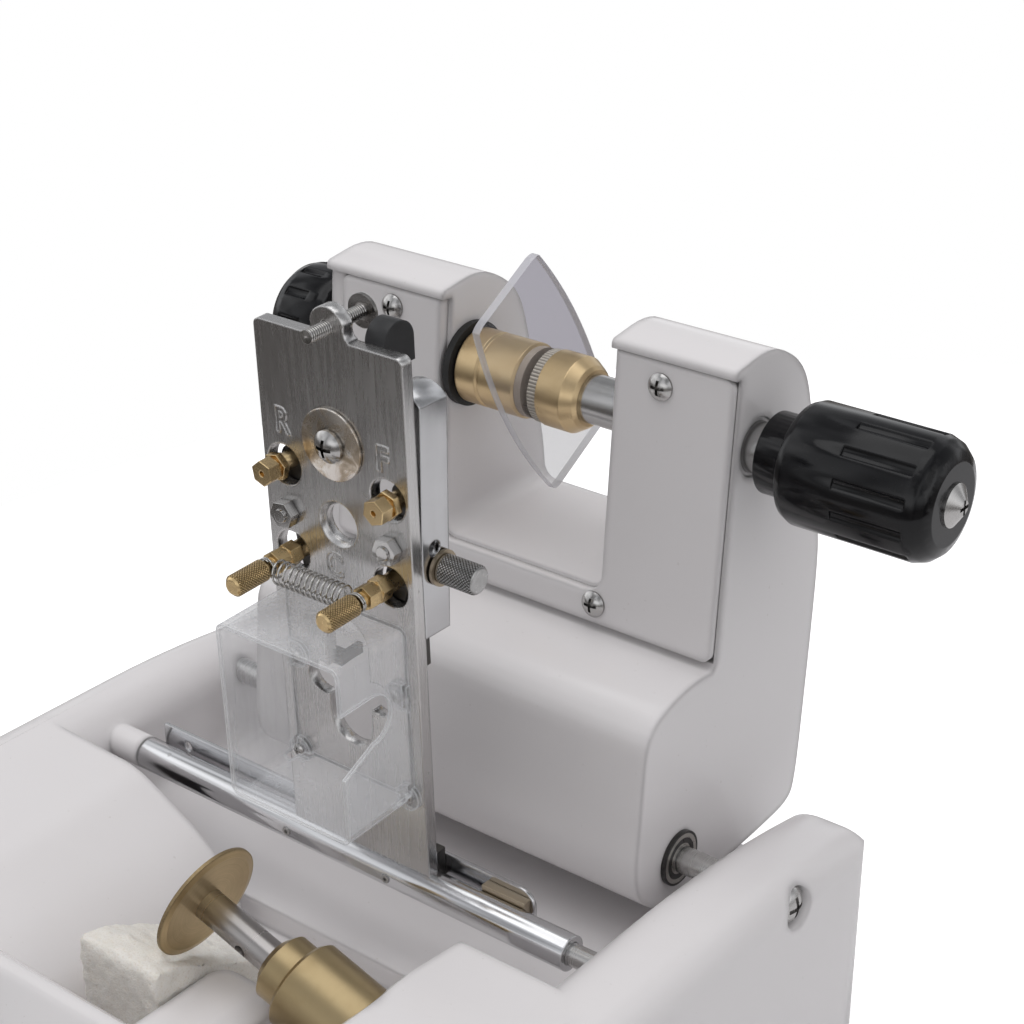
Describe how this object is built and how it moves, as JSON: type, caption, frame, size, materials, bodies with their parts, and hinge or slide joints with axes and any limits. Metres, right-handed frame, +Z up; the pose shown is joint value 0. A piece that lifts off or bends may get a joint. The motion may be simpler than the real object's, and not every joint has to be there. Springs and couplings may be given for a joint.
{
  "type": "lens groover",
  "caption": "Bench lens groover: swinging U-shaped head clamps a lens between two knobs above a small tilted wheel and a folding chrome guide plate.",
  "frame": {"origin": "middle of the machine's bounding box, on the bench under its feet", "axes": "+X to the machine's right along the lens spindle, +Y to the back, +Z up"},
  "size_m": [0.2038, 0.2072, 0.1944],
  "materials": {
    "white_shell": "smooth gloss white",
    "dark_plastic": "satin black",
    "grey_plate": "matt grey",
    "foot_rubber": "matt",
    "steel": "ground",
    "chrome": "polished",
    "brass": "turned",
    "wheel_bond": "matt, fine grain",
    "sponge_foam": "open foam, damp",
    "clear_box": "clear moulded plastic",
    "clear_lens": "polished clear resin",
    "red_key": "gloss",
    "green_key": "gloss",
    "tan_block": "satin",
    "dark_steel": "blackened",
    "nylon": "satin"
  },
  "bodies": {
    "base": {"base_housing": "white_shell", "bottom_plate": "grey_plate", "rubber_feet": "foot_rubber", "deck_screws": "steel", "side_screws": "steel", "power_inlet": "dark_plastic", "switch_frames": "dark_plastic", "sponge": "sponge_foam", "wheel_motor": "steel", "bearing_sleeve": "brass", "guide_pin": "steel", "pivot_shaft": "steel"},
    "wheel_switch_key": {"wheel_rocker": "red_key"},
    "spindle_switch_key": {"spindle_rocker": "green_key"},
    "dial": {"depth_dial": "dark_plastic"},
    "wheel": {"wheel_spindle": "steel", "grinding_wheel": "wheel_bond"},
    "guide": {"guide_tube": "chrome", "tube_screws": "steel", "leaf_strip": "chrome", "strip_clamp": "dark_steel", "strip_bumper": "tan_block", "guide_plate": "chrome", "ear_screw": "steel", "big_washer": "steel", "washer_screw": "steel", "arm_pivot_screws": "steel", "guide_bar": "chrome", "stop_pad": "dark_plastic", "knob_washer": "steel", "splash_box": "clear_box", "splash_box_screws": "steel", "arm_spring": "steel"},
    "guide_knob": {"adjusting_knob": "steel"},
    "left_arm": {"arm_left": "dark_steel", "fitting_left": "brass", "thumb_pin_left": "brass"},
    "right_arm": {"arm_right": "dark_steel", "fitting_right": "brass", "thumb_pin_right": "brass"},
    "head": {"head_housing": "white_shell", "head_cover": "white_shell", "cover_screws": "steel", "pivot_bushes": "dark_steel", "spindle_seal": "foot_rubber"},
    "left_lens_spindle": {"left_spindle": "steel", "left_chuck": "brass", "lens_pads": "nylon", "lens": "clear_lens", "left_knob": "dark_plastic", "left_knob_screw": "steel"},
    "right_sleeve": {"right_bush": "brass"},
    "right_lens_spindle": {"clamp_ring": "nylon", "right_chuck": "brass", "right_spindle": "steel", "right_knob": "dark_plastic", "right_knob_screw": "steel"}
  },
  "joints": [
    {"name": "head_swing", "type": "hinge", "parent": "base", "child": "head", "pos_m": [-0.0024, 0.04929, 0.061], "axis": [1, 0, 0], "range_deg": [0, 66]},
    {"name": "guide_fold", "type": "hinge", "parent": "base", "child": "guide", "pos_m": [-0.0024, 0.00629, 0.061], "axis": [1, 0, 0], "range_deg": [0, 58]},
    {"name": "left_lens_spin", "type": "hinge", "parent": "head", "child": "left_lens_spindle", "pos_m": [-0.0024, 0.07429, 0.153], "axis": [1, 0, 0], "continuous": true},
    {"name": "right_lens_spin", "type": "hinge", "parent": "head", "child": "right_sleeve", "pos_m": [0.0276, 0.07429, 0.153], "axis": [1, 0, 0], "continuous": true},
    {"name": "right_clamp_slide", "type": "slide", "parent": "right_sleeve", "child": "right_lens_spindle", "axis": [1, 0, 0], "range_m": [0, 0.009]},
    {"name": "wheel_spin", "type": "hinge", "parent": "base", "child": "wheel", "pos_m": [-0.0024, -0.04271, 0.0765], "axis": [0.9563, 0, -0.2924], "continuous": true},
    {"name": "left_arm_swing", "type": "hinge", "parent": "guide", "child": "left_arm", "pos_m": [-0.0166, 0.00278, 0.14473], "axis": [0, 0.9991, 0.0419], "range_deg": [0, 12], "stiffness_Nm_per_rad": 0.05, "springref_deg": -17.19, "deforming": ["arm_spring"]},
    {"name": "right_arm_swing", "type": "hinge", "parent": "guide", "child": "right_arm", "pos_m": [0.0118, 0.00278, 0.14473], "axis": [0, -0.9991, -0.0419], "range_deg": [0, 12], "stiffness_Nm_per_rad": 0.05, "springref_deg": -17.19, "deforming": ["arm_spring"]},
    {"name": "guide_knob_turn", "type": "hinge", "parent": "guide", "child": "guide_knob", "pos_m": [0.0216, 0.00989, 0.139], "axis": [1, 0, 0], "range_deg": [-180, 180]},
    {"name": "wheel_switch_tip", "type": "hinge", "parent": "base", "child": "wheel_switch_key", "pos_m": [-0.0644, -0.08978, 0.05763], "axis": [1, 0, 0], "range_deg": [-14, 0]},
    {"name": "spindle_switch_tip", "type": "hinge", "parent": "base", "child": "spindle_switch_key", "pos_m": [-0.0324, -0.08978, 0.05763], "axis": [1, 0, 0], "range_deg": [-14, 0]},
    {"name": "depth_dial_turn", "type": "hinge", "parent": "base", "child": "dial", "pos_m": [0.0196, -0.08821, 0.0564], "axis": [0, -0.7871, 0.6168], "range_deg": [0, 270]}
  ],
  "couplings": [
    {"joint": "guide_fold", "follows": "head_swing", "ratio": 0.87},
    {"joint": "right_lens_spin", "follows": "left_lens_spin", "ratio": 1}
  ]
}
